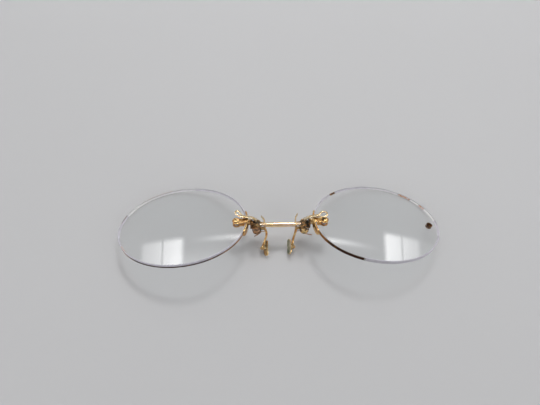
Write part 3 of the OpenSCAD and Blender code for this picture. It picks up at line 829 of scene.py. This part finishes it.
class OBJECT_OT_pince_nez_levers(bpy.types.Operator):
    """Dress the finger levers and the nose guards that turn with them"""

    bl_idname = "object.pince_nez_levers"
    bl_label = "Levers and guards"

    def execute(self, context):
        # Painted highlight: the finger pieces and brow guards take the paler, lit-looking copy of the gold.
        painted_highlight = metal_finish("painted_highlight_gold")
        for name, _ in SIDES:
            worn_copy(name + "_finger_lever", name + "_finger_piece", painted_highlight, wear=14)
            worn_copy(name + "_guard_arm", name + "_nose_guard", metal_finish("polished_gold"))
            worn_copy(name + "_upper_guard", name + "_brow_guard", painted_highlight, wear=4, fine=True)
        return {"FINISHED"}


class OBJECT_OT_pince_nez_pads(bpy.types.Operator):
    """Dress the rocking pads, green on the nose side, and their rivets"""

    bl_idname = "object.pince_nez_pads"
    bl_label = "Pads"

    def execute(self, context):
        nose_side = -0.4
        for name, side in SIDES:
            obj = worn_copy(name + "_pad", name + "_nose_pad", metal_finish("pad_gold"), wear=5, fine=True)
            obj.data.materials.append(metal_finish("pad_face"))
            for p in obj.data.polygons:
                p.material_index = 1 if p.normal.x * side < nose_side else 0
            turned_copy(name + "_pad_rivet", name + "_rocking_pin", metal_finish("screw_gold"))
        return {"FINISHED"}


# Springs

STEPS_A_TURN = 36

# Where the inner leg leaves the coil, the share of its reach at which it bends, and how far behind the coil
# it stands at each.
LEG_LEAVES = 0.5 * MM
LEG_BEND = 0.48
LEAVING_CLEAR = 0.03 * MM
BEND_CLEAR = 0.2 * MM

# How far each half of the tail drops.
TAIL_DROPS = (0.05 * MM, 0.10 * MM)


def spring_points(spring, tail, tail_turn):
    """The wire's centre line: the leg behind the guard, the coil, then the free tail."""
    r = spring.coil / 2
    wound = 2 * math.pi * spring.turns - tail_turn
    steps = STEPS_A_TURN * spring.turns
    drop = spring.pitch * spring.turns
    path = [Vector((-spring.leg_in, spring.top, -spring.leg_back)),
            Vector((-spring.leg_in * LEG_BEND, spring.top, -r - BEND_CLEAR)),
            Vector((-LEG_LEAVES, spring.top, -r - LEAVING_CLEAR))]
    for i in range(steps + 1):
        a = wound * i / steps
        path.append(Vector((r * math.sin(a), spring.top - drop * i / steps, -r * math.cos(a))))
    out = Vector((math.cos(wound), 0, math.sin(wound)))
    for fall in TAIL_DROPS:
        path.append(path[-1] + out * tail / 2 + Vector((0, -fall, 0)))
    return path


def wire_mesh(name, points, diameter):
    """Round wire along a line of points."""
    curve = bpy.data.curves.new(name, "CURVE")
    curve.dimensions = "3D"
    curve.bevel_depth = diameter / 2
    curve.bevel_resolution = 3
    curve.use_fill_caps = True
    line = curve.splines.new("POLY")
    line.points.add(len(points) - 1)
    for p, co in zip(line.points, points):
        p.co = (*co, 1)
    wire = new_object("temp", curve)
    mesh = evaluated_mesh(wire)
    bpy.data.objects.remove(wire)
    return mesh


class OBJECT_OT_pince_nez_springs(bpy.types.Operator):
    """Wind the two closing springs around their arbors, each with an inner leg behind its guard"""

    bl_idname = "object.pince_nez_springs"
    bl_label = "Springs"

    def execute(self, context):
        spring = context.scene.pince_nez_spring
        for name, side in SIDES:
            points = spring_points(spring, getattr(spring, name + "_tail"), getattr(spring, name + "_turn"))
            mesh = wire_mesh(name + "_wire", points, spring.wire)
            pivot = Vector(joint(name + "_lever_pivot")["pos_m"])
            leaning = face_to_row().to_3x3().to_4x4()
            mesh.transform(Matrix.Translation(pivot) @ leaning @ Matrix.Scale(side, 4, (1, 0, 0)))
            bm = bmesh.new()
            bm.from_mesh(mesh)
            bmesh.ops.remove_doubles(bm, verts=bm.verts, dist=MERGE)
            bmesh.ops.recalc_face_normals(bm, faces=bm.faces)
            bm.to_mesh(mesh)
            bm.free()
            obj = coated(new_object(name + "_coil", mesh), metal_finish("spring_wire_gold"))
            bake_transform(smooth(obj, 50))
            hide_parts(name + "_spring")
        return {"FINISHED"}


# Stage

# How far the floor reaches to each side, the point that the panels face, and the turn of the two windows.
FLOOR_REACH = 2.0
PANELS_AIM = Vector((0, 0, 0.005))
WINDOW_SLANT = math.radians(25)
SENSOR_WIDTH = 36


def square(name, reach):
    """A flat square that reaches this far to each side of its middle."""
    bm = bmesh.new()
    bmesh.ops.create_grid(bm, x_segments=1, y_segments=1, size=reach)
    return new_object(name, to_mesh(bm, name))


def lay_floor(studio):
    """A plain pale floor, whose far parts glow in its own colour, so that it isn't dark at the horizon."""
    floor = square("floor", FLOOR_REACH)
    mat, tree, shader = material("floor_paper")
    tone = ramp(tree, object_noise(tree, 6.0, 2.0), 0.3, 0.7)
    tree.links.new(mixed(tree, tone, studio.floor, darker(studio.floor, 0.985)), shader.inputs["Base Color"])
    shader.inputs["Roughness"].default_value = 0.9
    shader.inputs["Specular IOR Level"].default_value = 0.2
    away = node_of(tree, "ShaderNodeVectorMath", operation="LENGTH")
    tree.links.new(object_place(tree), away.inputs[0])
    far = ramp(tree, away.outputs["Value"], 0.3, 0.9)
    glow = node_of(tree, "ShaderNodeEmission", Color=rgba(studio.floor))
    surface(tree, mixed_shader(tree, far, shader.outputs[0], glow.outputs[0]))
    floor.data.materials.append(mat)


def surround(scene, studio):
    """Plain surroundings, lighter at the horizon than overhead."""
    world = scene.world or bpy.data.worlds.new("Surroundings")
    scene.world = world
    world.use_nodes = True
    tree = world.node_tree
    split = tree.nodes.new("ShaderNodeSeparateXYZ")
    tree.links.new(tree.nodes.new("ShaderNodeTexCoord").outputs["Generated"], split.inputs[0])
    background = tree.nodes["Background"]
    strength = ramp(tree, split.outputs["Z"], 0.15, 0.8, studio.horizon, studio.sky)
    tree.links.new(strength, background.inputs["Strength"])
    background.inputs["Color"].default_value = (1, 1, 1, 1)


def panel_cloth(name, brightness, border, fade, mullion):
    """A glowing cloth on a panel one unit wide and high."""
    mat, tree, shader = material(name + "_cloth")
    tree.nodes.remove(shader)
    split = tree.nodes.new("ShaderNodeSeparateXYZ")
    tree.links.new(object_place(tree), split.inputs[0])
    light = brightness
    for axis in ("X", "Y"):
        away = maths(tree, "ABSOLUTE", split.outputs[axis])
        light = times(tree, ramp(tree, away, 0.5 - border / 2, 0.5, 1.0, 0.0), light)
    if fade:
        side = ramp(tree, split.outputs["X"], -0.5, 0.5, 1 - max(fade, 0), 1 + min(fade, 0))
        light = times(tree, side, light)
    if mullion:
        off_middle = maths(tree, "ABSOLUTE", split.outputs["X"])
        light = times(tree, ramp(tree, off_middle, 0.01, 0.03, 0.25, 1.0), light)
    glow = tree.nodes.new("ShaderNodeEmission")
    tree.links.new(light, glow.inputs["Strength"])
    both = tree.nodes.new("ShaderNodeAddShader")
    tree.links.new(glow.outputs[0], both.inputs[0])
    tree.links.new(tree.nodes.new("ShaderNodeBsdfTransparent").outputs[0], both.inputs[1])
    surface(tree, both.outputs[0])
    return mat


def soft_panel(name, middle, width, height, brightness, border=0.35, turned=0.0, fade=0.0, mullion=False):
    """A lit panel facing the glasses, which fades over its border and so leaves no hard outline in the glass.

    It dims by the share fade towards the picture's left, or towards its right where fade is below 0, and a
    window has a mullion down its middle.
    """
    panel = square(name, 0.5)
    panel.scale = (width, height, 1)
    panel.location = middle
    facing = (PANELS_AIM - Vector(middle)).to_track_quat("Z", "Y").to_matrix()
    panel.rotation_euler = (facing @ Matrix.Rotation(turned, 3, "Z")).to_euler()
    panel.data.materials.append(panel_cloth(name, brightness, border, fade, mullion))
    panel.visible_camera = False


def hang_panels(studio):
    """The soft lights: a key and a ceiling, two windows and a strip behind, and two fills in front."""
    soft_panel("key", (0.09, 0.42, 0.60), width=0.20, height=0.14, brightness=studio.key)
    soft_panel("ceiling", (0.05, 0.42, 0.88), width=1.4, height=0.9, brightness=studio.ceiling)
    soft_panel("left_window", (-0.315, 0.5, 0.440), width=0.15, height=0.18, brightness=studio.window,
               border=0.3, turned=WINDOW_SLANT, fade=0.65, mullion=True)
    soft_panel("right_window", (0.405, 0.5, 0.415), width=0.13, height=0.18, brightness=studio.window,
               border=0.3, turned=-WINDOW_SLANT, fade=-0.65, mullion=True)
    soft_panel("shelf", (0.045, 0.5, 0.392), width=0.56, height=0.03, brightness=studio.shelf, border=0.9)
    for name, side in reversed(SIDES):
        soft_panel(name + "_fill", (side * 0.45, -0.35, 0.30), width=0.4, height=0.35, brightness=studio.fill)


def place_camera(scene, studio):
    """The photograph's camera, aimed at a point in the plane of the lenses."""
    rise, swing, roll = studio.camera_rise, studio.camera_swing, studio.camera_roll
    back = Vector((math.sin(swing) * math.cos(rise), -math.cos(swing) * math.cos(rise), math.sin(rise)))
    across = Vector((0, 0, 1)).cross(back).normalized()
    up = back.cross(across)
    right = across * math.cos(roll) + up * math.sin(roll)
    up = -across * math.sin(roll) + up * math.cos(roll)
    eye = Vector((studio.aim_x, studio.aim_y, 0)) + back * studio.distance
    turned = Matrix((right, up, back)).transposed().to_4x4()
    data = bpy.data.cameras.new("camera")
    data.lens = studio.focal
    data.sensor_width = SENSOR_WIDTH
    data.clip_start = 0.01
    data.clip_end = 10
    camera = new_object("camera", data)
    camera.matrix_world = face_to_row() @ Matrix.Translation(eye) @ turned
    scene.camera = camera


class OBJECT_OT_pince_nez_stage(bpy.types.Operator):
    """Set up the floor, the soft lights and the photograph's camera"""

    bl_idname = "object.pince_nez_stage"
    bl_label = "Stage"

    def execute(self, context):
        scene = context.scene
        studio = scene.pince_nez_studio
        scene.view_settings.view_transform = "Standard"
        lay_floor(studio)
        surround(scene, studio)
        hang_panels(studio)
        place_camera(scene, studio)
        return {"FINISHED"}


GROUPS = {
    "pince_nez_lens": PinceNezLens,
    "pince_nez_spring": PinceNezSpring,
    "pince_nez_metal": PinceNezMetal,
    "pince_nez_glass": PinceNezGlass,
    "pince_nez_studio": PinceNezStudio,
}
STEPS = (
    "pince_nez_finishes", "pince_nez_lenses", "pince_nez_bridge", "pince_nez_mounts", "pince_nez_levers",
    "pince_nez_pads", "pince_nez_springs", "pince_nez_stage",
)


class VIEW3D_PT_pince_nez(bpy.types.Panel):
    """Sizes, colours and steps of the pince nez"""

    bl_label = "Pince nez"
    bl_idname = "VIEW3D_PT_pince_nez"
    bl_space_type = "VIEW_3D"
    bl_region_type = "UI"
    bl_category = "Pince nez"

    def draw(self, context):
        layout = self.layout
        for name, group in GROUPS.items():
            box = layout.box()
            box.label(text=group.__doc__)
            for setting in group.__annotations__:
                box.prop(getattr(context.scene, name), setting)
        for step in STEPS:
            layout.operator("object." + step)


CLASSES = (
    *GROUPS.values(), OBJECT_OT_pince_nez_finishes, OBJECT_OT_pince_nez_lenses, OBJECT_OT_pince_nez_bridge,
    OBJECT_OT_pince_nez_mounts, OBJECT_OT_pince_nez_levers, OBJECT_OT_pince_nez_pads,
    OBJECT_OT_pince_nez_springs, OBJECT_OT_pince_nez_stage, VIEW3D_PT_pince_nez,
)


def register():
    for cls in CLASSES:
        bpy.utils.register_class(cls)
    for name, group in GROUPS.items():
        setattr(bpy.types.Scene, name, PointerProperty(type=group))


def unregister():
    for name in GROUPS:
        delattr(bpy.types.Scene, name)
    for cls in reversed(CLASSES):
        bpy.utils.unregister_class(cls)


def main():
    register()
    for step in STEPS:
        getattr(bpy.ops.object, step)()
    bpy.context.view_layer.update()


if __name__ == "__main__":
    main()
